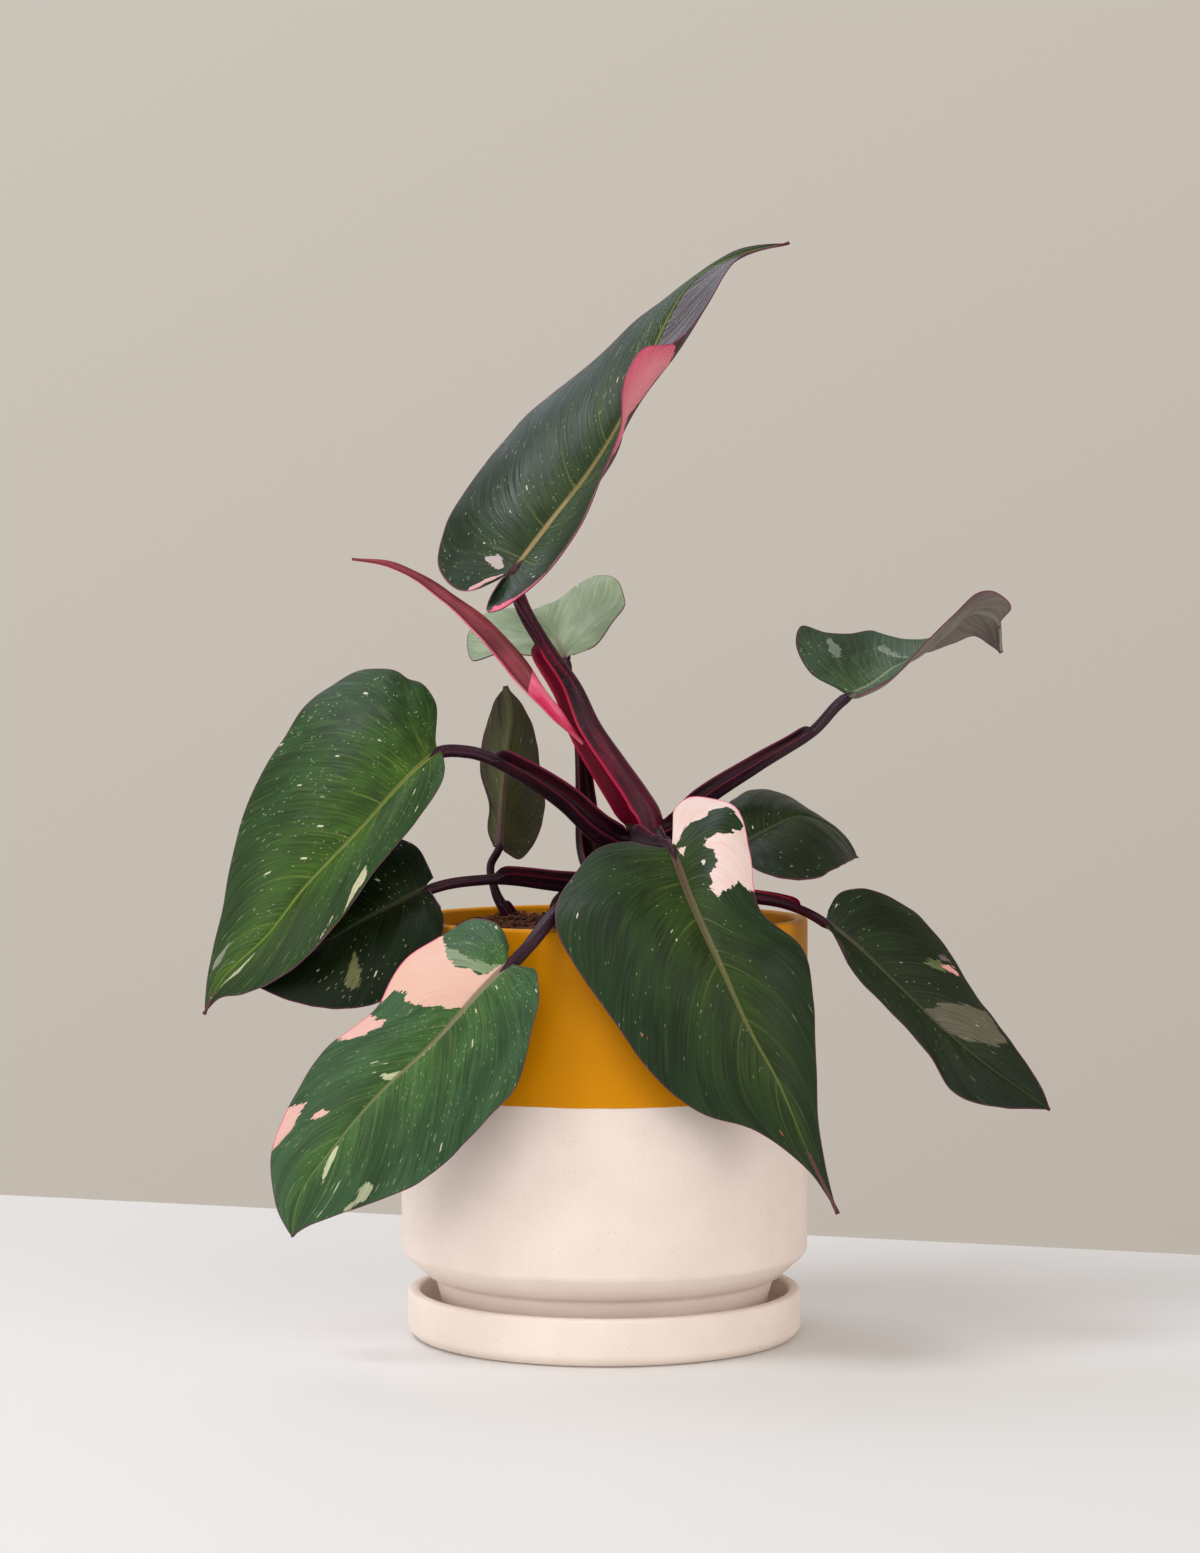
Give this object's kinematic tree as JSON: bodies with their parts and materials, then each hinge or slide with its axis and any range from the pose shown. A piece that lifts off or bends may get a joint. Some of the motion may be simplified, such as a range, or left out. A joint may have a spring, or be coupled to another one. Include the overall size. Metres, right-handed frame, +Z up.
{
  "type": "potted pink princess philodendron",
  "caption": "Climbing aroid house plant with dark heart-shaped leaves splashed pink, on maroon stalks, in a two-tone stoneware pot with a saucer.",
  "frame": {"origin": "middle of the saucer's flat underside, on the pot's axis", "axes": "+Z up along the pot's axis, -Y towards the viewer of the picture, +X to the viewer's right"},
  "size_m": [0.3344, 0.2218, 0.4458],
  "materials": {
    "pot_glaze": "satin",
    "saucer_bisque": "matte",
    "potting_mix": "matte",
    "petiole": "satin",
    "leaf": "satin",
    "new_leaf": "satin"
  },
  "bodies": {
    "root": {"pot": "pot_glaze", "saucer": "saucer_bisque", "potting_mix": "potting_mix", "stem": "petiole", "leaf_furled": "new_leaf", "petiole_back": "petiole", "petiole_back_small": "petiole", "petiole_front": "petiole", "petiole_front_left": "petiole", "petiole_left": "petiole", "petiole_lower_left": "petiole", "petiole_right": "petiole", "petiole_right_small": "petiole", "petiole_right_upper": "petiole", "petiole_top": "petiole", "blade_back": "leaf", "blade_back_small": "leaf", "blade_front": "leaf", "blade_front_left": "leaf", "blade_left": "leaf", "blade_lower_left": "leaf", "blade_right": "leaf", "blade_right_small": "leaf", "blade_right_upper": "leaf", "blade_top": "leaf"}
  },
  "joints": []
}
